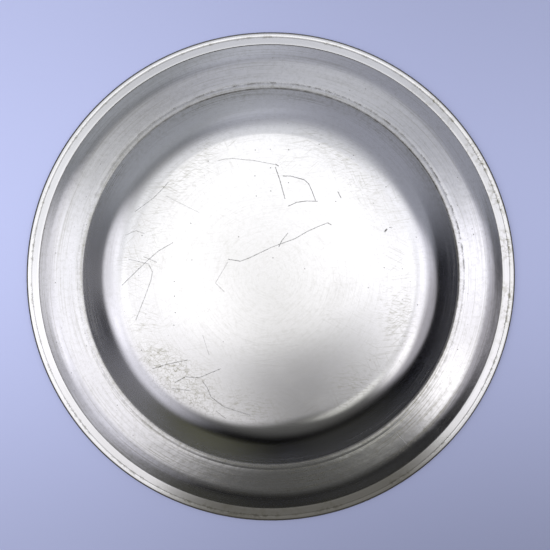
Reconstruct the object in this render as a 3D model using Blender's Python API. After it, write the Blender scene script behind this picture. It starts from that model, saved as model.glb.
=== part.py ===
"""Round pewter plate lying face down: a dished, lathe-turned plate with a reed soldered on the back of its edge."""

import math

import bpy
from mathutils import Vector

# Driving dimensions, in metres and degrees. Slopes fall outwards, because the plate lies on its face
PLATE_RADIUS = 0.1205  # axis to the outside of the reed's bead
REED_WIDTH = 0.0063  # fillet, groove and bead together
RIM_WIDTH = 0.0230  # foot of the booge to the reed's seat
RIM_SLOPE = 10.5
SWEEP_WIDTH = 0.0067  # outer part of the rim, which sweeps down to the reed
SWEEP_SLOPE = 25.5
SWEEP_RADIUS = 0.0240
BOOGE_HEIGHT = 0.0113  # the booge is the side wall between base and rim
BOOGE_SLOPE = 33.0
BOOGE_RADIUS = 0.0278  # round from the base into the booge
CORNER_RADIUS = 0.0007  # hollow corner between booge and rim
BASE_THICKNESS = 0.0017
WALL_THICKNESS = 0.0016  # booge and rim
LAND_RADIUS = 0.0040  # from the face of the rim onto the flat land at its edge
LEDGE_THICKNESS = 0.0008  # edge of the plate, which carries the reed
LEDGE_ROUND = 0.0002
SEAT_DEPTH = 0.0012  # how deep the reed is let into the rim
SOLDER_GAP = 0.0003  # clearance between the reed and its seat
EDGE_SETBACK = 0.0002  # plate's edge inside the bead
REED_STEP = 0.0004  # reed's inner edge above the end of the sweep
FILLET_SLOPE = 5.0  # fall of the fillet towards the groove
FILLET_ROUND = 0.0003  # reed's inner top edge
GROOVE_WIDTH = 0.0005  # between fillet and bead
GROOVE_DEPTH = 0.0004
BEAD_WIDTH = 0.0023
BEAD_SIDE = 0.0003  # upright side below the bead's round

TURN_STEPS = 96  # facets round the axis
BOOGE_STEPS = 8
SWEEP_STEPS = 5
EDGE_STEPS = 2
BEAD_STEPS = 4

# Places in the half section, as radius and height, that follow from the sizes above
SEAT_RADIUS = PLATE_RADIUS - REED_WIDTH - SOLDER_GAP
SWEEP_END = Vector((SEAT_RADIUS, LEDGE_THICKNESS + SEAT_DEPTH))
SWEEP_TURN = SWEEP_END + SWEEP_WIDTH * Vector((-1.0, math.tan(math.radians(SWEEP_SLOPE))))
CORNER = SWEEP_TURN + (RIM_WIDTH - SWEEP_WIDTH) * Vector((-1.0, math.tan(math.radians(RIM_SLOPE))))
BASE_TURN = CORNER + BOOGE_HEIGHT * Vector((-1.0 / math.tan(math.radians(BOOGE_SLOPE)), 1.0))
REED_TOP = SWEEP_END.y + REED_STEP
REED_FOOT = LEDGE_THICKNESS + SOLDER_GAP


def clear_scene():
    """Empties the scene."""
    for obj in list(bpy.data.objects):
        bpy.data.objects.remove(obj)


def rounded(before, corner, after, radius, steps):
    """Points of the arc that rounds a corner of a section, or a smaller one where its sides are short."""
    to_before = before - corner
    to_after = after - corner
    half_angle = to_before.angle(to_after) / 2
    room = 0.49 * min(to_before.length, to_after.length)
    setback = min(radius / math.tan(half_angle), room)
    reach = setback / math.cos(half_angle)
    centre = corner + reach * (to_before.normalized() + to_after.normalized()).normalized()
    start = corner + setback * to_before.normalized() - centre
    end = corner + setback * to_after.normalized() - centre
    turn = start.angle_signed(end)
    return [centre + swung(start, turn * step / steps) for step in range(steps + 1)]


def swung(arm, angle):
    """A vector of the section plane, turned clockwise as angle_signed counts."""
    cos, sin = math.cos(angle), math.sin(angle)
    return Vector((arm.x * cos + arm.y * sin, arm.y * cos - arm.x * sin))


def quarter(middle, width, height, start):
    """Points of a quarter of an oval, clockwise from an angle that is counted clockwise from upright."""
    points = []
    for step in range(BEAD_STEPS + 1):
        angle = start + math.pi / 2 * step / BEAD_STEPS
        points.append(middle + Vector((width * math.sin(angle), height * math.cos(angle))))
    return points


def face_corner(before, corner, after):
    """Corner of the plate's face that lies one wall below a corner of its back."""
    along_in = (corner - before).normalized()
    along_out = (after - corner).normalized()
    down_in = Vector((along_in.y, -along_in.x))
    down_out = Vector((along_out.y, -along_out.x))
    return corner + (down_in + down_out) * WALL_THICKNESS / (1.0 + down_in.dot(down_out))


def plate_section():
    """Half section of the plate, from the middle of its base over the back of the rim and back along its face."""
    base_middle = Vector((0.0, BASE_TURN.y))
    seat_corner = Vector((SEAT_RADIUS, LEDGE_THICKNESS))
    ledge_top = Vector((PLATE_RADIUS - EDGE_SETBACK, LEDGE_THICKNESS))
    ledge_foot = Vector((PLATE_RADIUS - EDGE_SETBACK, 0.0))
    face_sweep = face_corner(CORNER, SWEEP_TURN, SWEEP_END)
    land = Vector((face_sweep.x + face_sweep.y / math.tan(math.radians(SWEEP_SLOPE)), 0.0))
    lip = face_corner(BASE_TURN, CORNER, SWEEP_TURN)
    floor_middle = Vector((0.0, BASE_TURN.y - BASE_THICKNESS))
    well_rise = (floor_middle.y - lip.y) / math.tan(math.radians(BOOGE_SLOPE))
    floor_turn = Vector((lip.x - well_rise, floor_middle.y))
    return [
        base_middle,
        *rounded(base_middle, BASE_TURN, CORNER, BOOGE_RADIUS, BOOGE_STEPS),
        *rounded(BASE_TURN, CORNER, SWEEP_TURN, CORNER_RADIUS, EDGE_STEPS),
        *rounded(CORNER, SWEEP_TURN, SWEEP_END, SWEEP_RADIUS, SWEEP_STEPS),
        SWEEP_END,
        seat_corner,
        *rounded(seat_corner, ledge_top, ledge_foot, LEDGE_ROUND, EDGE_STEPS),
        *rounded(ledge_top, ledge_foot, land, LEDGE_ROUND, EDGE_STEPS),
        *rounded(ledge_foot, land, face_sweep, LAND_RADIUS, EDGE_STEPS),
        *rounded(land, face_sweep, lip, SWEEP_RADIUS - WALL_THICKNESS, SWEEP_STEPS),
        *rounded(face_sweep, lip, floor_turn, CORNER_RADIUS + WALL_THICKNESS, EDGE_STEPS),
        *rounded(lip, floor_turn, floor_middle, BOOGE_RADIUS - WALL_THICKNESS, BOOGE_STEPS),
        floor_middle,
    ]


def reed_section():
    """Closed section of the reed: up its inner side, over fillet, groove and bead, and down to its seat."""
    inner_foot = Vector((SEAT_RADIUS + SOLDER_GAP, REED_FOOT))
    inner_top = Vector((inner_foot.x, REED_TOP))
    bead_inner = PLATE_RADIUS - BEAD_WIDTH
    fillet_width = bead_inner - GROOVE_WIDTH - inner_top.x
    groove_edge = inner_top + fillet_width * Vector((1.0, -math.tan(math.radians(FILLET_SLOPE))))
    bead_top = groove_edge.y
    groove_floor = Vector((bead_inner - GROOVE_WIDTH / 2, bead_top - GROOVE_DEPTH))
    bead_half = BEAD_WIDTH / 2
    bead_middle = PLATE_RADIUS - bead_half
    bead_drop = bead_top - REED_FOOT - BEAD_SIDE
    inner_round = quarter(Vector((bead_middle, bead_top - GROOVE_DEPTH)), bead_half, GROOVE_DEPTH, -math.pi / 2)
    outer_round = quarter(Vector((bead_middle, bead_top - bead_drop)), bead_half, bead_drop, 0.0)
    return [
        inner_foot,
        *rounded(inner_foot, inner_top, groove_edge, FILLET_ROUND, EDGE_STEPS),
        groove_edge,
        groove_floor,
        *inner_round,
        *outer_round[1:],
        Vector((PLATE_RADIUS, REED_FOOT)),
    ]


def turned_solid(name, section, closed, material):
    """One object that turns a section round the Z axis."""
    points = [(point.x, 0.0, point.y) for point in section]
    edges = [(index, index + 1) for index in range(len(points) - 1)]
    if closed:
        edges.append((len(points) - 1, 0))
    mesh = bpy.data.meshes.new(name)
    mesh.from_pydata(points, edges, [])
    mesh.materials.append(material)
    obj = bpy.data.objects.new(name, mesh)
    bpy.context.scene.collection.objects.link(obj)
    screw = obj.modifiers.new("Turn", "SCREW")
    screw.axis = "Z"
    screw.steps = TURN_STEPS
    screw.render_steps = TURN_STEPS
    screw.use_merge_vertices = True
    screw.merge_threshold = 0.00001
    screw.use_smooth_shade = True
    return obj


def pewter(name, colour, roughness):
    """Grey tin alloy with a satin, hand-polished surface."""
    material = bpy.data.materials.new(name)
    material.use_nodes = True
    shader = material.node_tree.nodes["Principled BSDF"]
    shader.inputs["Base Color"].default_value = (*colour, 1.0)
    shader.inputs["Metallic"].default_value = 1.0
    shader.inputs["Roughness"].default_value = roughness
    return material


def main():
    clear_scene()
    plate_pewter = pewter("plate_pewter", (0.56, 0.56, 0.54), 0.28)
    reed_pewter = pewter("reed_pewter", (0.58, 0.58, 0.56), 0.25)
    turned_solid("dished_plate", plate_section(), False, plate_pewter)
    turned_solid("edge_reed", reed_section(), True, reed_pewter)


main()
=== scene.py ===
"""Round pewter plate lying face down on a lavender table: a turned plate and the reed along its edge."""

import logging
import math
from abc import ABC, abstractmethod
from dataclasses import dataclass
from enum import Enum
from typing import Any, ClassVar, Optional, Sequence, Union

import bpy
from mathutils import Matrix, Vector


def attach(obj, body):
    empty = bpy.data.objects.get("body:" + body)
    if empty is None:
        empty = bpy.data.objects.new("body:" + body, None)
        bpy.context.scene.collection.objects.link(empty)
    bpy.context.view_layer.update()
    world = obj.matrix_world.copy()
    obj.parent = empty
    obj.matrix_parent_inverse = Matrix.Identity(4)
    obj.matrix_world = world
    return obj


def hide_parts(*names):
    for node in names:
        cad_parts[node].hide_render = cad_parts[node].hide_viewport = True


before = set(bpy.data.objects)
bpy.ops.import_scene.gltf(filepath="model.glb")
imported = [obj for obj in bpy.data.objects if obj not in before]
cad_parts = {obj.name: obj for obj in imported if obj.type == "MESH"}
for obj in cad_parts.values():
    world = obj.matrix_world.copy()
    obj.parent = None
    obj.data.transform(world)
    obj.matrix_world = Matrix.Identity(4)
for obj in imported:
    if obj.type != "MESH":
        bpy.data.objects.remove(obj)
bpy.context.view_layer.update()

BODY = "root"
IMAGE_SIDE = 550
MM = 0.001

# Sizes in metres that the plate and its reed share
PLATE_RADIUS = 0.1205
REED_WIDTH = 0.0063

log = logging.getLogger("pewter_plate")

Colour = tuple[float, float, float]
Section = list[Vector]
Number = Union["Signal", float]
Inputs = dict[Union[int, str], Any]


class Piece(Enum):
    """The two pieces of the plate, by the names of the solids that they stand for."""

    PLATE = "dished_plate"
    REED = "edge_reed"


class Slot(Enum):
    """The record's slots for finishes."""

    PLATE = "plate_pewter"
    REED = "reed_pewter"


class Signal:
    """A value on its way through a material's nodes, which takes part in Python expressions."""

    def __init__(self, bench: "Bench", socket: bpy.types.NodeSocket) -> None:
        """Wraps the output socket of a node on a bench."""
        self.bench = bench
        self.socket = socket

    def __add__(self, other: Number) -> "Signal":
        """The sum of two values."""
        return self.bench.maths("ADD", self, other)

    def __radd__(self, other: Number) -> "Signal":
        """The sum of two values."""
        return self.bench.maths("ADD", other, self)

    def __sub__(self, other: Number) -> "Signal":
        """The difference of two values."""
        return self.bench.maths("SUBTRACT", self, other)

    def __rsub__(self, other: Number) -> "Signal":
        """The difference of two values."""
        return self.bench.maths("SUBTRACT", other, self)

    def __mul__(self, other: Number) -> "Signal":
        """The product of two values."""
        return self.bench.maths("MULTIPLY", self, other)

    def __rmul__(self, other: Number) -> "Signal":
        """The product of two values."""
        return self.bench.maths("MULTIPLY", other, self)

    def output(self, name: str) -> "Signal":
        """Another output of the same node."""
        return Signal(self.bench, self.socket.node.outputs[name])


class Bench:
    """Adds nodes to one node tree.

    Attributes:
        MIX_INPUTS: the Mix node's input sockets for a factor and two colours.
        MIX_RESULT: its output socket for their mix.
    """

    MIX_INPUTS: ClassVar[tuple[int, int, int]] = (0, 6, 7)
    MIX_RESULT: ClassVar[int] = 2

    def __init__(self, tree: bpy.types.NodeTree) -> None:
        """Takes the tree that the nodes go into."""
        self.tree = tree

    def node(
        self,
        kind: str,
        settings: Optional[dict[str, Any]] = None,
        inputs: Optional[Inputs] = None,
        output: Union[int, str] = 0,
    ) -> Signal:
        """Adds one node.

        Args:
            kind: Blender's name of the node's type.
            settings: properties of the node, which are set first.
            inputs: values or signals of its input sockets.
            output: which of its output sockets to read.

        Returns:
            The signal of that output socket.
        """
        made = self.tree.nodes.new(kind)
        for name, value in (settings or {}).items():
            setattr(made, name, value)
        self.fill(made, inputs or {})
        return Signal(self, made.outputs[output])

    def fill(self, node: bpy.types.Node, inputs: Inputs) -> None:
        """Sets or links the input sockets of a node.

        Args:
            node: the node.
            inputs: values or signals of its input sockets.
        """
        for key, value in inputs.items():
            if isinstance(value, Signal):
                self.tree.links.new(value.socket, node.inputs[key])
            else:
                node.inputs[key].default_value = value

    def maths(self, operation: str, first: Number, second: Number = 0.0) -> Signal:
        """A Math node on two values."""
        return self.node("ShaderNodeMath", {"operation": operation}, {0: first, 1: second})

    def clamped(self, value: Number) -> Signal:
        """A value held between 0 and 1."""
        return self.node("ShaderNodeClamp", None, {"Value": value})

    def merged(self, operation: str, values: Sequence[Signal]) -> Signal:
        """Several values, merged one after the other.

        Args:
            operation: the Math node's operation on two of them.
            values: the values.

        Returns:
            The merged value.
        """
        total = values[0]
        for value in values[1:]:
            total = self.maths(operation, total, value)
        return total

    def smooth(self, value: Number, low: float, high: float) -> Signal:
        """A soft step from 0 to 1 between two values, or from 1 to 0 where the first is the larger.

        Args:
            value: what is compared.
            low: where the step leaves 0.
            high: where the step arrives at 1.

        Returns:
            The step.
        """
        if low > high:
            return 1.0 - self.smooth(value, high, low)
        inputs = {"Value": value, "From Min": low, "From Max": high}
        return self.node("ShaderNodeMapRange", {"interpolation_type": "SMOOTHSTEP"}, inputs)

    def vector(
        self, operation: str, first: Any, second: Any = (0.0, 0.0, 0.0), output: str = "Vector"
    ) -> Signal:
        """A Vector Math node on two vectors, whose output is a Vector or a Value."""
        return self.node("ShaderNodeVectorMath", {"operation": operation}, {0: first, 1: second}, output)

    def scaled(self, vector: Any, factor: Number) -> Signal:
        """A vector times a number."""
        return self.node("ShaderNodeVectorMath", {"operation": "SCALE"}, {0: vector, "Scale": factor})

    def mixed(self, factor: Number, first: Any, second: Any) -> Signal:
        """A mix of two colours."""
        inputs = dict(zip(self.MIX_INPUTS, (factor, self.opaque(first), self.opaque(second))))
        return self.node("ShaderNodeMix", {"data_type": "RGBA"}, inputs, self.MIX_RESULT)

    @staticmethod
    def opaque(colour: Any) -> Any:
        """A colour with its alpha, or the signal of one."""
        return colour if isinstance(colour, Signal) else (*colour, 1.0)

    def noise(self, place: Signal, scale: float, detail: float, roughness: float = 0.5) -> Signal:
        """Smooth noise from 0 to 1.

        Args:
            place: where it is read.
            scale: waves per unit of place.
            detail: octaves on top of the first.
            roughness: strength of each octave beside the one before.

        Returns:
            The noise.
        """
        inputs = {"Vector": place, "Scale": scale, "Detail": detail, "Roughness": roughness}
        return self.node("ShaderNodeTexNoise", None, inputs)


class PewterBench(Bench):
    """A bench for pewter, with the places and the kinds of wear that its finishes share.

    Attributes:
        PATCH_CORE: share of a patch that is full.
        TURNING_DETAIL: octaves on top of the first in the marks of the lathe.
        TANGLE_LEVEL: level of the noise in the middle of a curved scratch.
        TANGLE_EDGE: change of the noise from there to the scratch's edge.
        SPECK_CORE: share of a spot's radius that is full.
    """

    PATCH_CORE: ClassVar[float] = 0.3
    TURNING_DETAIL: ClassVar[float] = 3.0
    TANGLE_LEVEL: ClassVar[float] = 0.5
    TANGLE_EDGE: ClassVar[float] = 0.035
    SPECK_CORE: ClassVar[float] = 0.4

    def __init__(self, tree: bpy.types.NodeTree) -> None:
        """Finds the place in plan, and its distance and direction from the turning axis.

        Args:
            tree: the tree that the nodes go into.
        """
        super().__init__(tree)
        self.place = self.node("ShaderNodeTexCoord", output="Object")
        self.level = self.vector("MULTIPLY", self.place, (1.0, 1.0, 0.0))
        self.radius = self.vector("LENGTH", self.level, output="Value")
        self.heading = self.vector("NORMALIZE", self.level)

    def zone(self, start: float, full: float) -> Signal:
        """The plate beyond a circle, from 0 at one radius to 1 at another."""
        return self.smooth(self.radius, start, full)

    def ring(self, radius: float, width: float) -> Signal:
        """A soft ring round the axis, from 1 at its radius to 0 at a width beside it."""
        return self.smooth(self.maths("ABSOLUTE", self.radius - radius), width, 0.0)

    def sector(self, angle: float, least: float, most: float) -> Signal:
        """A soft sector of the plate.

        Args:
            angle: direction of its middle in degrees from +X towards +Y.
            least: degrees from its middle to where it is full.
            most: degrees from its middle to where it ends.

        Returns:
            A signal from 1 inside to 0 outside.
        """
        turn = math.radians(angle)
        towards = (math.cos(turn), math.sin(turn), 0.0)
        nearness = self.vector("DOT_PRODUCT", self.heading, towards, "Value")
        return self.smooth(nearness, math.cos(math.radians(most)), math.cos(math.radians(least)))

    def patch(self, middle: tuple[float, float], size: tuple[float, float], angle: float) -> Signal:
        """A soft oval patch.

        Args:
            middle: x and y of its middle in metres.
            size: half its length and half its width in metres.
            angle: direction of its length in degrees.

        Returns:
            A signal from 1 in its middle to 0 at its edge.
        """
        inputs = {
            "Vector": self.place,
            "Location": (*middle, 0.0),
            "Rotation": (0.0, 0.0, math.radians(angle)),
            "Scale": (*size, 1.0),
        }
        local = self.node("ShaderNodeMapping", {"vector_type": "TEXTURE"}, inputs)
        return self.smooth(self.vector("LENGTH", local, output="Value"), 1.0, self.PATCH_CORE)

    def grain(self, scale: float, detail: float, roughness: float = 0.5) -> Signal:
        """Noise in plan, with its scale in waves per metre."""
        return self.noise(self.level, scale, detail, roughness)

    def turning(self, spacing: float, reach: float) -> Signal:
        """Marks of the lathe: noise drawn out round the axis.

        Args:
            spacing: distance from mark to mark in metres.
            reach: how often the marks change round the axis.

        Returns:
            Noise from 0 to 1.
        """
        arc = self.scaled(self.heading, reach)
        across = self.scaled((0.0, 0.0, 1.0 / spacing), self.radius)
        return self.noise(self.vector("ADD", arc, across), 1.0, self.TURNING_DETAIL)

    def tangle(self, scale: float) -> Signal:
        """Fine curved scratches that run into each other.

        Args:
            scale: their waves per metre.

        Returns:
            A signal from 0 between them to 1 in their middle.
        """
        offset = self.grain(scale, 1.0) - self.TANGLE_LEVEL
        return self.smooth(self.maths("ABSOLUTE", offset), self.TANGLE_EDGE, 0.0)

    def specks(self, spacing: float, size: float, share: float) -> Signal:
        """Small round spots at random places.

        Args:
            spacing: distance from place to place in metres.
            size: radius of a spot in metres.
            share: part of the places that have a spot.

        Returns:
            A signal from 0 between them to 1 in their middle.
        """
        inputs = {"Vector": self.level, "Scale": 1.0 / spacing}
        gap = self.node("ShaderNodeTexVoronoi", {"voronoi_dimensions": "2D"}, inputs, "Distance")
        chance = self.node("ShaderNodeSeparateColor", None, {"Color": gap.output("Color")})
        reach = size / spacing
        return self.smooth(gap, reach, reach * self.SPECK_CORE) * self.maths("LESS_THAN", chance, share)


@dataclass(frozen=True)
class Hairs:
    """Fine straight scratches in one direction, in clusters.

    Attributes:
        angle: their direction in degrees.
        width: their spacing in metres.
        length: their length in metres.
        least: noise level from which they show, which is rarer the higher it is.
        EDGE: rise of the noise from a scratch's edge to its middle.
        CLUSTERS: clusters per metre.
        CLUSTER_LEVELS: noise levels at which a cluster starts and is full.
    """

    angle: float
    width: float
    length: float
    least: float

    EDGE: ClassVar[float] = 0.10
    CLUSTERS: ClassVar[float] = 38.0
    CLUSTER_LEVELS: ClassVar[tuple[float, float]] = (0.42, 0.66)

    def mask(self, bench: PewterBench) -> Signal:
        """How much of the scratches lies at a place.

        Args:
            bench: where the nodes go.

        Returns:
            A signal from 0 between them to 1 in their middle.
        """
        turn = (0.0, 0.0, math.radians(self.angle))
        inputs = {"Vector": bench.level, "Rotation": turn, "Scale": (self.length, self.width, 1.0)}
        drawn = bench.node("ShaderNodeMapping", {"vector_type": "TEXTURE"}, inputs)
        lines = bench.smooth(bench.noise(drawn, 1.0, 0.0), self.least, self.least + self.EDGE)
        inputs = {"Vector": bench.level, "Location": (self.angle, 0.0, 0.0)}
        moved = bench.node("ShaderNodeMapping", None, inputs)
        return lines * bench.smooth(bench.noise(moved, self.CLUSTERS, 1.0), *self.CLUSTER_LEVELS)


@dataclass(frozen=True)
class Stroke:
    """A single scratch, through points in plan.

    Attributes:
        points: x and y of its points in millimetres.
        depth: how dark it is, from 0 to 1.
        width: half its width in metres.
        CORE: share of its width that is full.
    """

    points: tuple[tuple[float, float], ...]
    depth: float = 0.6
    width: float = 0.00028

    CORE: ClassVar[float] = 0.2

    def mask(self, bench: PewterBench) -> Signal:
        """How much of the scratch lies at a place.

        Args:
            bench: where the nodes go.

        Returns:
            A signal from 0 beside the scratch to its depth in its middle.
        """
        ends = [Vector((x * MM, y * MM, 0.0)) for x, y in self.points]
        gaps: list[Signal] = []
        for start, end in zip(ends, ends[1:]):
            along = end - start
            offset = bench.vector("SUBTRACT", bench.level, tuple(start))
            share = bench.vector("DOT_PRODUCT", offset, tuple(along / along.length_squared), "Value")
            foot = bench.scaled(tuple(along), bench.clamped(share))
            gaps.append(bench.vector("DISTANCE", offset, foot, "Value"))
        return bench.smooth(bench.merged("MINIMUM", gaps), self.width, self.width * self.CORE) * self.depth


@dataclass
class Wear:
    """Where a finish is worn.

    Attributes:
        film_and_shade: the dull grey-brown tarnish of age, and painted shade on the darker sides.
        dirt_and_shade: what sits in corners and scratches, and painted shade at the reed's edge and on the
            back's sweep.
        dull: what makes the polish rougher.
        relief: height of the surface in millimetres.
    """

    film_and_shade: Signal
    dirt_and_shade: Signal
    dull: Signal
    relief: Signal


@dataclass(frozen=True)
class PewterFinish(ABC):
    """Aged pewter, turned and hand-polished to a satin.

    Attributes:
        metal: colour of the clean metal.
        film_and_shade: colour of the metal under the tarnish of age, also used as painted shade.
        dirt_and_shade: colour of what sits in corners and scratches, also used as painted shade.
        gloss: roughness of the clean metal.
        film_dulling: roughness that film_and_shade adds.
        dirt_dulling: roughness that dirt_and_shade adds.
        dirt_cover: share of the metal that dirt_and_shade hides.
    """

    metal: Colour = (0.555, 0.553, 0.562)
    film_and_shade: Colour = (0.27, 0.262, 0.218)
    dirt_and_shade: Colour = (0.038, 0.034, 0.025)
    gloss: float = 0.15
    film_dulling: float = 0.12
    dirt_dulling: float = 0.35
    dirt_cover: float = 0.85

    @abstractmethod
    def wear(self, bench: PewterBench) -> Wear:
        """The wear of this finish, from nodes on a bench."""

    def material(self, name: str) -> bpy.types.Material:
        """A material of this finish.

        Args:
            name: the material's name.

        Returns:
            The material.
        """
        material = bpy.data.materials.new(name)
        material.use_nodes = True
        bench = PewterBench(material.node_tree)
        wear = self.wear(bench)
        dirt_and_shade = bench.clamped(wear.dirt_and_shade)
        film_and_shade = bench.clamped(wear.film_and_shade)
        bump = {"Strength": 1.0, "Distance": MM, "Height": wear.relief}
        inputs = {
            "Base Color": bench.mixed(dirt_and_shade, bench.mixed(film_and_shade, self.metal, self.film_and_shade), self.dirt_and_shade),
            "Roughness": self.gloss + wear.dull + film_and_shade * self.film_dulling + dirt_and_shade * self.dirt_dulling,
            "Metallic": 1.0 - dirt_and_shade * self.dirt_cover,
            "Normal": bench.node("ShaderNodeBump", None, bump),
        }
        bench.fill(bench.tree.nodes["Principled BSDF"], inputs)
        return material


@dataclass(frozen=True)
class BackFinish(PewterFinish):
    """Pewter of the plate's back: a rubbed and scratched base, a turned rim, grime in the corners and
    painted shade on the side towards −Y.

    Attributes:
        base_radius: radius of the base's flat part.
        corner_radius: radius of the corner between booge and rim.
        line_radius: radius of the turned line beside that corner.
        seat_radius: radius of the reed's seat.
        hairs: fine scratches on the base.
        dashes: short scratches on the ring that rubs on tables.
        scratches: the single scratches on the base and, the last one, on the rim.
    """

    base_radius: float = 0.0680
    corner_radius: float = 0.0907
    line_radius: float = 0.0935
    seat_radius: float = 0.1139
    hairs: tuple[Hairs, ...] = (
        Hairs(6.0, 0.0007, 0.014, 0.60),
        Hairs(41.0, 0.0006, 0.011, 0.62),
        Hairs(-28.0, 0.0006, 0.013, 0.62),
        Hairs(112.0, 0.0006, 0.010, 0.63),
    )
    dashes: tuple[Hairs, ...] = (
        Hairs(4.0, 0.0007, 0.0034, 0.57),
        Hairs(-14.0, 0.0007, 0.0030, 0.58),
    )
    scratches: tuple[Stroke, ...] = (
        Stroke(((-24.3, 53.7), (-21.0, 54.5), (-16.9, 54.7), (-8.0, 53.8), (1.8, 52.0)), 0.35, 0.00022),
        Stroke(((2.3, 52.0), (3.7, 51.3)), 0.8, 0.0003),
        Stroke(((2.3, 50.6), (4.4, 44.5), (6.7, 36.1)), 0.6),
        Stroke(((5.9, 46.6), (9.2, 46.6), (15.6, 44.9), (17.7, 43.0), (19.3, 39.5), (20.8, 35.4)), 0.6),
        Stroke(((21.7, 34.9), (16.7, 35.0), (12.2, 34.4), (8.3, 32.7)), 0.55),
        Stroke(((-19.5, 8.0), (-14.1, 7.1), (-10.3, 8.4), (0.6, 13.6), (7.7, 16.2), (11.5, 17.6)), 0.5),
        Stroke(((11.5, 17.6), (16.7, 20.7), (21.9, 23.1), (26.5, 24.9), (28.1, 24.0)), 0.5),
        Stroke(((3.9, 13.8), (5.3, 16.7), (8.0, 20.1)), 0.55),
        Stroke(((-19.8, 6.7), (-25.5, -3.0), (-21.5, -7.0)), 0.22),
        Stroke(((-62.9, 30.1), (-54.4, 36.3), (-50.7, 40.0), (-47.4, 43.8)), 0.40),
        Stroke(((-48.5, 37.3), (-33.0, 29.6)), 0.15),
        Stroke(((-68.8, -4.0), (-58.1, 6.4), (-52.2, 11.7), (-45.3, 15.7)), 0.40),
        Stroke(
            ((-65.6, 8.0), (-56.5, 5.8), (-54.7, 2.1), (-55.4, -1.6), (-58.1, -9.1), (-62.4, -20.1)), 0.35
        ),
        Stroke(((-67.2, 19.2), (-62.4, 21.3), (-58.7, 20.0)), 0.35),
        Stroke(((-58.9, 9.3), (-52.8, 6.6)), 0.30),
        Stroke(((-54.6, -42.8), (-48.5, -40.8), (-38.5, -38.7)), 0.45),
        Stroke(((-44.2, -49.1), (-39.4, -46.5), (-33.3, -47.0), (-23.1, -42.8)), 0.50),
        Stroke(((-31.4, -48.7), (-29.3, -51.5), (-27.6, -55.8), (-21.4, -60.5), (-9.5, -64.3)), 0.50),
        Stroke(((-45.6, -52.0), (-37.1, -52.9)), 0.40),
        Stroke(((-31.4, -27.3), (-28.5, -36.3)), 0.20),
        Stroke(((-25.2, -62.4), (-20.9, -65.8)), 0.30),
        Stroke(((31.3, 39.2), (32.7, 36.4)), 0.45, 0.00032),
        Stroke(((53.1, 21.0), (53.8, 21.8)), 0.75, 0.00060),
        Stroke(((55.2, 22.8), (56.4, 22.6)), 0.45, 0.00035),
        Stroke(((60.6, -75.3), (66.9, -82.1)), 0.45),
    )

    def wear(self, bench: PewterBench) -> Wear:
        """The wear of the back.

        Args:
            bench: where the nodes go.

        Returns:
            The wear.
        """
        base = bench.zone(start=self.base_radius + 0.006, full=self.base_radius)
        rubbed = bench.ring(self.base_radius - 0.006, width=0.016)
        rim = bench.zone(start=self.corner_radius, full=self.corner_radius + 0.002)
        hollow = bench.zone(start=self.corner_radius - 0.010, full=self.corner_radius - 0.001) * (1.0 - rim)
        seat = bench.ring(self.seat_radius, width=0.0008)
        grimy = bench.sector(angle=35.0, least=70.0, most=115.0)
        stained = bench.sector(angle=65.0, least=45.0, most=85.0)
        # The side towards −Y, on which shade is painted into the rim's colour; the turned line's grime and
        # the spots are kept off it.
        painted_shade_side = bench.sector(angle=-80.0, least=25.0, most=60.0)
        fine = bench.turning(spacing=0.0006, reach=2.2)
        bands = bench.turning(spacing=0.0036, reach=1.2)
        streaks = bench.smooth(fine, 0.50, 0.68)
        grains = bench.grain(scale=900.0, detail=3.0, roughness=0.6)
        crumbs = bench.smooth(grains, 0.50, 0.60)
        clouds = bench.smooth(bench.grain(scale=45.0, detail=3.0), 0.50, 0.75)
        mottle = bench.smooth(bench.grain(scale=420.0, detail=4.0, roughness=0.78), 0.46, 0.64)
        flecks = bench.smooth(bench.grain(scale=260.0, detail=4.0, roughness=0.7), 0.40, 0.62)
        dents = bench.grain(scale=170.0, detail=2.0)
        hairs = bench.merged("ADD", [hair.mask(bench) for hair in self.hairs])
        dashes = bench.merged("ADD", [dash.mask(bench) for dash in self.dashes])
        strokes = bench.merged("MAXIMUM", [scratch.mask(bench) for scratch in self.scratches])
        broken = 0.55 + 0.45 * bench.smooth(grains, 0.42, 0.56)
        scuff = bench.patch(middle=(-0.042, -0.047), size=(0.034, 0.014), angle=-38.0)
        scuff = scuff * (0.25 * bench.smooth(grains, 0.42, 0.62) + bench.tangle(230.0) + bench.tangle(410.0))
        corner = bench.ring(self.corner_radius, width=0.0008)
        corner = corner * (0.28 + 0.62 * grimy) * (0.60 + 0.40 * flecks)
        line = bench.ring(self.line_radius, width=0.0007)
        line = line * flecks * (0.15 + 0.55 * stained) * (1.0 - painted_shade_side)
        line_film = bench.ring(self.line_radius - 0.0012, width=0.003)
        # Painted shade: a faint layer of dirt colour on the sweep, on the side towards −Y only.
        sweep = bench.zone(start=self.seat_radius - 0.0075, full=self.seat_radius - 0.0035) * painted_shade_side
        small_spots = bench.specks(spacing=0.0034, size=0.00026, share=0.06) * (rubbed + rim * 0.6)
        spots = bench.specks(spacing=0.0075, size=0.00036, share=0.16) + small_spots
        spots = spots * (base + rim) * (1.0 - painted_shade_side)
        film_and_shade = clouds * 0.06 + mottle * (0.10 + rim * 0.06) + scuff * 0.40
        film_and_shade = film_and_shade + hairs * (rubbed + 0.50) * base * 0.14 + dashes * rubbed * 0.28
        film_and_shade = film_and_shade + streaks * (0.08 + rim * 0.18) + bench.smooth(bands, 0.50, 0.75) * rim * 0.10
        film_and_shade = film_and_shade + hollow * (0.20 + 0.20 * mottle + 0.35 * streaks) + seat * 0.15
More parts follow.
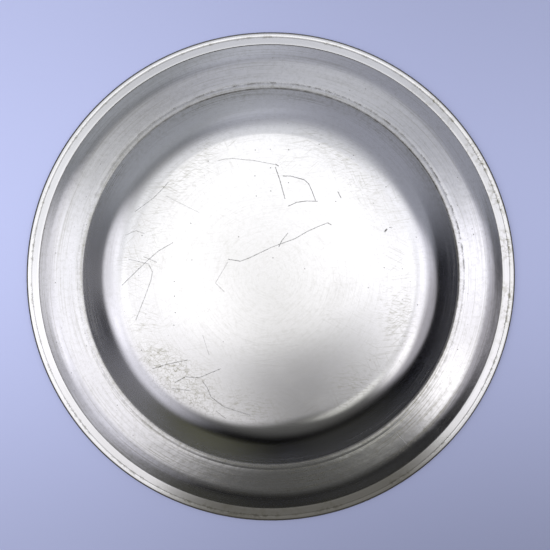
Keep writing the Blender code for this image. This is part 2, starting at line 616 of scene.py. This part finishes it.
        # Painted shade: darker, streaky tarnish colour on the rim's side towards −Y.
        film_and_shade = film_and_shade + painted_shade_side * rim * 0.20 * mottle + painted_shade_side * rim * 0.45 * streaks
        film_and_shade = film_and_shade + line_film * (0.15 * crumbs + 0.15 * flecks)
        dirt_and_shade = strokes * broken * 1.25 + corner + line + spots * 0.60 + sweep * 0.04
        dirt_and_shade = dirt_and_shade + hollow * (0.04 + 0.10 * streaks)
        dull = fine * 0.03 + clouds * 0.02 + scuff * 0.05 - base * 0.02
        relief = fine * 0.002 + bands * rim * 0.024 + dents * rim * 0.05
        relief = relief - strokes * 0.010 - hairs * base * 0.001
        return Wear(film_and_shade, dirt_and_shade, dull, relief)


@dataclass(frozen=True)
class FaceFinish(PewterFinish):
    """Pewter of the plate's face, with the fine cuts of use in its well.

    Attributes:
        well_radius: radius of the well.
        cuts: fine cuts, most of them in the well.
    """

    well_radius: float = 0.0800
    cuts: tuple[Hairs, ...] = (
        Hairs(17.0, 0.0009, 0.030, 0.60),
        Hairs(-38.0, 0.0009, 0.034, 0.61),
        Hairs(73.0, 0.0009, 0.026, 0.62),
    )

    def wear(self, bench: PewterBench) -> Wear:
        """The wear of the face.

        Args:
            bench: where the nodes go.

        Returns:
            The wear.
        """
        well = bench.zone(start=self.well_radius, full=self.well_radius - 0.010)
        fine = bench.turning(spacing=0.0006, reach=2.2)
        streaks = bench.smooth(fine, 0.46, 0.70)
        clouds = bench.smooth(bench.grain(scale=40.0, detail=4.0), 0.44, 0.76)
        cuts = bench.merged("ADD", [cut.mask(bench) for cut in self.cuts]) * (0.2 + 0.8 * well)
        spots = bench.specks(spacing=0.0080, size=0.00035, share=0.08)
        film_and_shade = clouds * 0.16 + cuts * 0.22 + streaks * (0.12 - 0.08 * well)
        dull = fine * 0.05 + clouds * 0.04
        relief = fine * 0.0008 - cuts * 0.0025
        return Wear(film_and_shade, spots * 0.5, dull, relief)


@dataclass(frozen=True)
class ReedFinish(PewterFinish):
    """Pewter of the reed, bright on fillet and bead and dirty in the groove between them, with painted shade
    at its outer edge and on its side towards −Y.

    Attributes:
        groove_radius: radius of the groove's floor.
        outer_radius: radius of the bead's outside.
    """

    metal: Colour = (0.575, 0.573, 0.582)
    groove_radius: float = 0.11795
    outer_radius: float = PLATE_RADIUS

    def wear(self, bench: PewterBench) -> Wear:
        """The wear of the reed.

        Args:
            bench: where the nodes go.

        Returns:
            The wear.
        """
        fine = bench.turning(spacing=0.0005, reach=9.0)
        streaks = bench.smooth(fine, 0.50, 0.7)
        grains = bench.grain(scale=800.0, detail=3.0, roughness=0.6)
        blotches = bench.smooth(bench.grain(scale=420.0, detail=3.0, roughness=0.65), 0.44, 0.62)
        blotches = blotches * bench.smooth(bench.grain(scale=90.0, detail=1.0), 0.42, 0.60)
        # Painted shade: the reed's side towards −Y is darkened with tarnish and dirt colour.
        painted_reed_shade = bench.sector(angle=-80.0, least=18.0, most=42.0)
        # Painted shadow: the bead's outer edge is darker still on the side towards 215 degrees.
        painted_edge_shadow = bench.sector(angle=215.0, least=60.0, most=105.0)
        dusty = bench.sector(angle=110.0, least=45.0, most=85.0)
        hazy = bench.sector(angle=18.0, least=20.0, most=45.0)
        groove = bench.ring(self.groove_radius, width=0.0006)
        stained = bench.ring(self.groove_radius, width=0.0011) * blotches
        # Painted shade: tarnish and dirt colour darken the bead's outer edge all round.
        side = bench.zone(start=self.outer_radius - 0.0010, full=self.outer_radius - 0.0005)
        film_and_shade = stained * 0.50 + groove * (0.06 + 0.30 * dusty)
        film_and_shade = film_and_shade + side * (0.65 + 0.35 * painted_edge_shadow) + streaks * 0.08
        film_and_shade = film_and_shade + painted_reed_shade * (0.80 + 0.20 * blotches) + hazy * (0.20 + 0.35 * blotches)
        dirt_and_shade = stained * 0.20 + side * (0.65 + 0.4 * grains + 0.2 * painted_edge_shadow) + painted_reed_shade * 0.72
        dull = fine * 0.05
        relief = fine * 0.0008
        return Wear(film_and_shade, dirt_and_shade, dull, relief)


class Modelling:
    """Steps of modelling by hand that both pieces share.

    Attributes:
        TURN_STEPS: facets round the axis.
        ROOM: share of a corner's shorter side that its round may take.
        MERGE_DISTANCE: how close points lie that are one point, in metres.
        WAVE_LENGTH: length of the slow waves in old metal, in metres.
        WAVE_HEIGHT: height of those waves, in metres.
    """

    TURN_STEPS: ClassVar[int] = 256
    ROOM: ClassVar[float] = 0.49
    MERGE_DISTANCE: ClassVar[float] = 0.000001
    WAVE_LENGTH: ClassVar[float] = 0.060
    WAVE_HEIGHT: ClassVar[float] = 0.00012

    @classmethod
    def rounded(cls, before: Vector, corner: Vector, after: Vector, radius: float, steps: int) -> Section:
        """Points of the arc that rounds a corner of a section.

        Args:
            before: the point before the corner.
            corner: the corner.
            after: the point after it.
            radius: radius of the arc, which is smaller where the sides are short.
            steps: number of its chords.

        Returns:
            The arc's points.
        """
        to_before = before - corner
        to_after = after - corner
        half_angle = to_before.angle(to_after) / 2
        room = cls.ROOM * min(to_before.length, to_after.length)
        setback = min(radius / math.tan(half_angle), room)
        reach = setback / math.cos(half_angle)
        centre = corner + reach * (to_before.normalized() + to_after.normalized()).normalized()
        start = corner + setback * to_before.normalized() - centre
        end = corner + setback * to_after.normalized() - centre
        turn = start.angle_signed(end)
        return [centre + cls.swung(start, turn * step / steps) for step in range(steps + 1)]

    @staticmethod
    def swung(arm: Vector, angle: float) -> Vector:
        """A vector of the section plane, turned clockwise."""
        cos, sin = math.cos(angle), math.sin(angle)
        return Vector((arm.x * cos + arm.y * sin, arm.y * cos - arm.x * sin))

    @staticmethod
    def filled(section: Section, pitch: float) -> Section:
        """A section with points added, so that none lie further apart than a pitch.

        Args:
            section: the section's points.
            pitch: the widest step.

        Returns:
            The finer section.
        """
        fine = [section[0]]
        for here, there in zip(section, section[1:]):
            steps = max(1, math.ceil((there - here).length / pitch))
            fine += [here.lerp(there, step / steps) for step in range(1, steps + 1)]
        return fine

    @classmethod
    def turned(cls, name: str, section: Section, smooth_angle: float) -> bpy.types.Object:
        """Draws a section by extruding one point and spins it round the Z axis.

        Args:
            name: the piece's name.
            section: radius and height of the section's points.
            smooth_angle: degrees from which its edges stay sharp.

        Returns:
            The turned piece.
        """
        bpy.ops.object.select_all(action="DESELECT")
        start = section[0]
        bpy.ops.mesh.primitive_plane_add(size=MM, location=(start.x, 0.0, start.y))
        piece = bpy.context.object
        piece.name = name
        piece.data.name = name
        bpy.ops.object.transform_apply(location=True, rotation=True, scale=True)
        bpy.ops.object.mode_set(mode="EDIT")
        bpy.ops.mesh.select_all(action="SELECT")
        bpy.ops.mesh.merge(type="CENTER")
        for here, there in zip(section, section[1:]):
            step = (there.x - here.x, 0.0, there.y - here.y)
            bpy.ops.mesh.extrude_vertices_move(TRANSFORM_OT_translate={"value": step})
        bpy.ops.mesh.select_all(action="SELECT")
        bpy.ops.mesh.spin(
            steps=cls.TURN_STEPS, angle=math.tau, center=(0.0, 0.0, 0.0), axis=(0.0, 0.0, 1.0)
        )
        bpy.ops.mesh.select_all(action="SELECT")
        bpy.ops.mesh.remove_doubles(threshold=cls.MERGE_DISTANCE)
        bpy.ops.mesh.normals_make_consistent(inside=False)
        bpy.ops.object.mode_set(mode="OBJECT")
        cls.waver(piece)
        bpy.ops.object.shade_smooth_by_angle(angle=math.radians(smooth_angle))
        return piece

    @classmethod
    def waver(cls, piece: bpy.types.Object) -> None:
        """Lifts a piece in slow waves, as old metal is never quite true.

        Args:
            piece: the piece.
        """
        texture = bpy.data.textures.new("slow_waves", "CLOUDS")
        texture.noise_scale = cls.WAVE_LENGTH
        texture.noise_depth = 1
        waver = piece.modifiers.new("Waver", "DISPLACE")
        waver.texture = texture
        waver.texture_coords = "GLOBAL"
        waver.direction = "Z"
        waver.mid_level = 0.0
        waver.strength = cls.WAVE_HEIGHT
        bpy.ops.object.modifier_apply(modifier=waver.name)


@dataclass
class TurnedPlate:
    """The dished plate: base, booge, rim and ledge on its back, and well, lip, rim and land on its face.

    Sizes are in metres. Slopes are in degrees and fall outwards, because the plate lies on its face.
    """

    radius: float = PLATE_RADIUS
    reed_width: float = REED_WIDTH
    rim_width: float = 0.0234  # corner to the reed's seat
    rim_slope: float = 10.5
    sweep_width: float = 0.0069  # outer part of the rim, which sweeps down to the reed
    sweep_slope: float = 25.5
    sweep_radius: float = 0.0240
    sweep_steps: int = 12
    booge_height: float = 0.0112  # the booge is the side wall between base and rim
    booge_slope: float = 33.0
    booge_radius: float = 0.0255  # round from the base into the booge
    booge_steps: int = 24
    corner_radius: float = 0.0007  # hollow corner between booge and rim
    corner_steps: int = 6
    lip_steps: int = 8  # round of the face below that corner
    base_thickness: float = 0.0017
    wall_thickness: float = 0.0016  # booge and rim
    land_radius: float = 0.0040  # from the face of the rim onto the flat land at its edge
    land_steps: int = 6
    ledge_thickness: float = 0.0008  # edge of the plate, which carries the reed
    ledge_round: float = 0.0002
    ledge_steps: int = 3
    seat_depth: float = 0.0012  # how deep the reed is let into the rim
    solder_gap: float = 0.0001  # between the reed and its seat
    edge_setback: float = 0.0002  # plate's edge inside the reed's
    line_start: float = 0.0025  # corner to the turned line
    line_width: float = 0.0005
    line_floor: tuple[float, float] = (0.3, 0.7)  # shares of the line's width between its walls
    line_depth: float = 0.000012
    pitch: float = 0.0020  # widest step of the section
    smooth_angle: float = 24.0  # sharper edges stay sharp

    @property
    def seat_radius(self) -> float:
        """Radius of the seat's wall."""
        return self.radius - self.reed_width - self.solder_gap

    @property
    def sweep_end(self) -> Vector:
        """Where the rim's sweep meets the reed's seat."""
        return Vector((self.seat_radius, self.ledge_thickness + self.seat_depth))

    @property
    def sweep_turn(self) -> Vector:
        """Where the rim turns into its sweep."""
        fall = math.tan(math.radians(self.sweep_slope))
        return self.sweep_end + self.sweep_width * Vector((-1.0, fall))

    @property
    def corner(self) -> Vector:
        """The hollow corner between booge and rim."""
        fall = math.tan(math.radians(self.rim_slope))
        return self.sweep_turn + (self.rim_width - self.sweep_width) * Vector((-1.0, fall))

    @property
    def base_turn(self) -> Vector:
        """Where base and booge would meet in a sharp edge."""
        run = 1.0 / math.tan(math.radians(self.booge_slope))
        return self.corner + self.booge_height * Vector((-run, 1.0))

    def face_corner(self, before: Vector, corner: Vector, after: Vector) -> Vector:
        """Corner of the face that lies one wall below a corner of the back.

        Args:
            before: the back's point before the corner.
            corner: the back's corner.
            after: the back's point after it.

        Returns:
            The corner of the face.
        """
        along_in = (corner - before).normalized()
        along_out = (after - corner).normalized()
        down_in = Vector((along_in.y, -along_in.x))
        down_out = Vector((along_out.y, -along_out.x))
        return corner + (down_in + down_out) * self.wall_thickness / (1.0 + down_in.dot(down_out))

    def turned_line(self) -> Section:
        """The fine groove that the lathe left on the rim beside the corner.

        Returns:
            Radius and height of its points.
        """
        fall = math.tan(math.radians(self.rim_slope))
        points = []
        for share in (0.0, *self.line_floor, 1.0):
            depth = self.line_depth if share in self.line_floor else 0.0
            out = self.line_start + self.line_width * share
            points.append(self.corner + Vector((out, -depth - fall * out)))
        return points

    def section(self) -> Section:
        """The half section, from the middle of the base over the back and along the face.

        Returns:
            Radius and height of its points.
        """
        rounded = Modelling.rounded
        edge = self.radius - self.edge_setback
        base_middle = Vector((0.0, self.base_turn.y))
        seat_corner = Vector((self.seat_radius, self.ledge_thickness))
        ledge_top = Vector((edge, self.ledge_thickness))
        ledge_foot = Vector((edge, 0.0))
        face_sweep = self.face_corner(self.corner, self.sweep_turn, self.sweep_end)
        land_run = face_sweep.y / math.tan(math.radians(self.sweep_slope))
        land = Vector((face_sweep.x + land_run, 0.0))
        lip = self.face_corner(self.base_turn, self.corner, self.sweep_turn)
        floor_middle = Vector((0.0, self.base_turn.y - self.base_thickness))
        well_run = (floor_middle.y - lip.y) / math.tan(math.radians(self.booge_slope))
        floor_turn = Vector((lip.x - well_run, floor_middle.y))
        inner_sweep = self.sweep_radius - self.wall_thickness
        inner_booge = self.booge_radius - self.wall_thickness
        points = [
            base_middle,
            *rounded(base_middle, self.base_turn, self.corner, self.booge_radius, self.booge_steps),
            *rounded(self.base_turn, self.corner, self.sweep_turn, self.corner_radius, self.corner_steps),
            *self.turned_line(),
            *rounded(self.corner, self.sweep_turn, self.sweep_end, self.sweep_radius, self.sweep_steps),
            self.sweep_end,
            seat_corner,
            *rounded(seat_corner, ledge_top, ledge_foot, self.ledge_round, self.ledge_steps),
            *rounded(ledge_top, ledge_foot, land, self.ledge_round, self.ledge_steps),
            *rounded(ledge_foot, land, face_sweep, self.land_radius, self.land_steps),
            *rounded(land, face_sweep, lip, inner_sweep, self.sweep_steps),
            *rounded(face_sweep, lip, floor_turn, self.corner_radius + self.wall_thickness, self.lip_steps),
            *rounded(lip, floor_turn, floor_middle, inner_booge, self.booge_steps),
            floor_middle,
        ]
        return Modelling.filled(points, self.pitch)

    def build(self) -> bpy.types.Object:
        """Models the plate."""
        return Modelling.turned("turned_plate", self.section(), self.smooth_angle)

    def dress(self, piece: bpy.types.Object, back: PewterFinish, face: PewterFinish) -> None:
        """Gives the plate its finishes and its place in the frame.

        Args:
            piece: the modelled plate.
            back: the finish of its back.
            face: the finish of its face.
        """
        piece.data.materials.append(back.material("pewter_back"))
        piece.data.materials.append(face.material("pewter_face"))
        for polygon in piece.data.polygons:
            polygon.material_index = int(polygon.normal.z < 0.0)
        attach(piece, BODY)
        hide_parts(Piece.PLATE.value)


@dataclass
class EdgeReed:
    """The reed along the back of the edge: flat fillet, fine groove and half-round bead.

    Sizes are in metres, and slopes in degrees.
    """

    radius: float = PLATE_RADIUS
    width: float = REED_WIDTH
    top: float = 0.0022  # height of the fillet's inner edge
    foot: float = 0.0011  # height of the underside
    fillet_round: float = 0.0003  # inner top edge
    fillet_steps: int = 6
    fillet_slope: float = 5.0  # fall of the fillet towards the groove
    groove_width: float = 0.0005
    groove_depth: float = 0.00014
    bead_width: float = 0.0023
    bead_side: float = 0.0003  # upright side below the bead's round
    bead_steps: int = 12
    pitch: float = 0.0008  # widest step of the section
    smooth_angle: float = 20.0  # sharper edges stay sharp

    def quarter(self, middle: Vector, width: float, height: float, start: float) -> Section:
        """Points of a quarter of an oval, clockwise.

        Args:
            middle: the oval's middle.
            width: half its width.
            height: half its height.
            start: angle of the first point, clockwise from upright.

        Returns:
            The quarter's points.
        """
        angles = [start + math.pi / 2 * step / self.bead_steps for step in range(self.bead_steps + 1)]
        return [middle + Vector((width * math.sin(angle), height * math.cos(angle))) for angle in angles]

    def section(self) -> Section:
        """The closed section, up the inner side, over fillet, groove and bead, and back along the foot.

        Returns:
            Radius and height of its points.
        """
        inner_foot = Vector((self.radius - self.width, self.foot))
        inner_top = Vector((inner_foot.x, self.top))
        bead_inner = self.radius - self.bead_width
        fillet_width = bead_inner - self.groove_width - inner_top.x
        groove_edge = inner_top + fillet_width * Vector((1.0, -math.tan(math.radians(self.fillet_slope))))
        bead_top = groove_edge.y
        groove_floor = Vector((bead_inner - self.groove_width / 2, bead_top - self.groove_depth))
        bead_half = self.bead_width / 2
        bead_middle = self.radius - bead_half
        drop = bead_top - self.foot - self.bead_side
        inner_middle = Vector((bead_middle, bead_top - self.groove_depth))
        inner = self.quarter(inner_middle, bead_half, self.groove_depth, -math.pi / 2)
        outer = self.quarter(Vector((bead_middle, bead_top - drop)), bead_half, drop, 0.0)
        points = [
            inner_foot,
            *Modelling.rounded(inner_foot, inner_top, groove_edge, self.fillet_round, self.fillet_steps),
            groove_edge,
            groove_floor,
            *inner,
            *outer[1:],
            Vector((self.radius, self.foot)),
            inner_foot,
        ]
        return Modelling.filled(points, self.pitch)

    def build(self) -> bpy.types.Object:
        """Models the reed."""
        return Modelling.turned("soldered_reed", self.section(), self.smooth_angle)

    def dress(self, piece: bpy.types.Object, finish: PewterFinish) -> None:
        """Gives the reed its finish and its place in the frame.

        Args:
            piece: the modelled reed.
            finish: the finish of its pewter.
        """
        piece.data.materials.append(finish.material("pewter_reed"))
        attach(piece, BODY)
        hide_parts(Piece.REED.value)


@dataclass
class LavenderTable:
    """The pale lavender table that the plate lies on, with painted light that makes it palest towards one
    corner.

    Attributes:
        side: length of its sides in metres.
        colour: its colour in the middle.
        roughness: how matt it is.
        reach: distance from the middle over which its painted light changes most.
        painted_light_slope: painted change of tone to either side of the middle along X and Y.
        painted_light_bow: further painted change of tone, alike on both sides, along X and Y.
    """

    side: float = 8.0
    colour: Colour = (0.49, 0.535, 0.80)
    roughness: float = 0.6
    reach: float = 0.114
    painted_light_slope: tuple[float, float] = (-0.15, 0.14)
    painted_light_bow: tuple[float, float] = (0.04, -0.27)

    def build(self) -> bpy.types.Object:
        """Lays the table.

        Returns:
            The table top.
        """
        bpy.ops.object.select_all(action="DESELECT")
        bpy.ops.mesh.primitive_plane_add(size=self.side)
        table = bpy.context.object
        table.name = "lavender_table"
        return table

    def dress(self, table: bpy.types.Object) -> None:
        """Gives the table its matt lavender surface, with light painted into its colour.

        Args:
            table: the table top.
        """
        material = bpy.data.materials.new("lavender_card")
        material.use_nodes = True
        bench = Bench(material.node_tree)
        place = bench.scaled(bench.node("ShaderNodeTexCoord", output="Object"), 1.0 / self.reach)
        crest = Vector((1.0, 1.0, 1.0)) * math.pi / 2
        place = bench.vector("MAXIMUM", bench.vector("MINIMUM", place, tuple(crest)), tuple(-crest))
        place = bench.vector("SINE", place)
        # Painted light: the table's colour is made lighter and darker across it, palest towards one corner.
        painted_light_slope = bench.vector("DOT_PRODUCT", place, (*self.painted_light_slope, 0.0), "Value")
        painted_light_bow = bench.vector("DOT_PRODUCT", bench.vector("MULTIPLY", place, place), (*self.painted_light_bow, 0.0), "Value")
        colour = bench.scaled(self.colour, 1.0 + painted_light_slope + painted_light_bow)
        bench.fill(bench.tree.nodes["Principled BSDF"], {"Base Color": colour, "Roughness": self.roughness})
        table.data.materials.append(material)


@dataclass(frozen=True)
class Glow:
    """A round patch of light with a soft edge in the studio's surroundings.

    Attributes:
        azimuth: direction of its middle in degrees, counted from +X towards +Y.
        height: degrees of its middle above the horizon.
        radius: degrees from its middle to half its strength.
        softness: half the width of its edge in degrees.
        colour: its colour times its strength.
    """

    azimuth: float
    height: float
    radius: float
    softness: float
    colour: Colour

    def light(self, bench: Bench, gaze: Signal) -> Signal:
        """The light of the patch.

        Args:
            bench: where the nodes go.
            gaze: direction that is looked in.

        Returns:
            The light's colour.
        """
        turn, rise = math.radians(self.azimuth), math.radians(self.height)
        middle = (math.cos(rise) * math.cos(turn), math.cos(rise) * math.sin(turn), math.sin(rise))
        angle = bench.maths("ARCCOSINE", bench.vector("DOT_PRODUCT", gaze, middle, "Value"))
        outer = math.radians(self.radius + self.softness)
        inner = math.radians(self.radius - self.softness)
        return bench.scaled(self.colour, bench.smooth(angle, outer, inner))


@dataclass
class Studio:
    """The soft light round the table: a lamp overhead, a window on each side and pale walls."""

    overhead: tuple[Glow, ...] = (
        Glow(108.0, 86.3, 10.9, 1.4, (1.08, 1.07, 1.05)),
        Glow(72.0, 63.0, 11.0, 26.0, (0.84, 0.84, 0.81)),
    )
    right_window: tuple[Glow, ...] = (
        Glow(354.0, 64.0, 20.5, 8.5, (1.03, 1.02, 1.04)),
        Glow(346.0, 40.5, 23.0, 5.0, (0.62, 0.60, 0.65)),
        Glow(351.0, 75.0, 6.2, 2.5, (0.68, 0.67, 0.69)),
        Glow(327.0, 46.5, 8.0, 3.0, (0.86, 0.85, 0.83)),
    )
    left_window: tuple[Glow, ...] = (
        Glow(157.0, 63.0, 11.0, 26.0, (2.08, 2.10, 2.16)),
        Glow(180.0, 33.0, 20.5, 8.5, (1.30, 1.29, 1.37)),
        Glow(216.0, 31.5, 17.0, 14.5, (1.25, 1.24, 1.36)),
        Glow(219.0, 64.0, 18.8, 6.5, (1.18, 1.16, 1.18)),
    )
    walls: tuple[Glow, ...] = (
        Glow(56.0, 38.0, 44.0, 12.0, (0.46, 0.475, 0.55)),
        Glow(125.0, 1.0, 37.0, 17.5, (0.48, 0.50, 0.54)),
        Glow(90.0, 16.0, 22.0, 10.0, (0.07, 0.07, 0.07)),
        Glow(290.0, 72.0, 36.0, 14.0, (0.12, 0.12, 0.115)),
        Glow(302.0, 60.0, 7.5, 2.5, (0.72, 0.72, 0.67)),
        Glow(295.0, 0.0, 20.0, 12.0, (0.045, 0.045, 0.04)),
        Glow(245.0, -10.0, 12.0, 26.0, (0.39, 0.39, 0.26)),
    )

    def build(self) -> None:
        """Lights the studio with the sum of its glows."""
        world = bpy.data.worlds.new("soft_studio")
        bpy.context.scene.world = world
        world.use_nodes = True
        bench = Bench(world.node_tree)
        gaze = bench.node("ShaderNodeTexCoord", output="Generated")
        total: Optional[Signal] = None
        for glow in (*self.overhead, *self.right_window, *self.left_window, *self.walls):
            light = glow.light(bench, gaze)
            total = light if total is None else bench.vector("ADD", total, light)
        bench.fill(bench.tree.nodes["Background"], {"Color": total})


@dataclass
class OverheadCamera:
    """The camera straight above the plate.

    Attributes:
        height: its height above the table in metres.
        across: its place along X in metres.
        along: its place along Y in metres.
        focal_pixels: its focal length in pixels of the image.
        sensor: width of its sensor in millimetres.
        clip_start: distance in metres from which it sees.
    """

    height: float = 0.300
    across: float = 0.00209
    along: float = 0.00070
    focal_pixels: float = 604.8
    sensor: float = 36.0
    clip_start: float = 0.01

    def build(self) -> None:
        """Hangs the camera over the table and makes it the scene's own."""
        data = bpy.data.cameras.new("overhead")
        data.sensor_width = self.sensor
        data.lens = self.focal_pixels / IMAGE_SIDE * self.sensor
        data.clip_start = self.clip_start
        camera = bpy.data.objects.new("overhead", data)
        camera.location = (self.across, self.along, self.height)
        bpy.context.scene.collection.objects.link(camera)
        bpy.context.scene.camera = camera


def main() -> None:
    """Builds and dresses the plate, and sets the table, the light and the camera."""
    logging.basicConfig(level=logging.INFO, format="%(name)s: %(message)s")
    bpy.context.scene.view_settings.view_transform = "Standard"
    plate = TurnedPlate()
    plate_piece = plate.build()
    plate.dress(plate_piece, BackFinish(), FaceFinish())
    log.info("%s: %d faces", plate_piece.name, len(plate_piece.data.polygons))
    reed = EdgeReed()
    reed_piece = reed.build()
    reed.dress(reed_piece, ReedFinish())
    log.info("%s: %d faces", reed_piece.name, len(reed_piece.data.polygons))
    table = LavenderTable()
    table.dress(table.build())
    Studio().build()
    OverheadCamera().build()


if __name__ == "__main__":
    main()
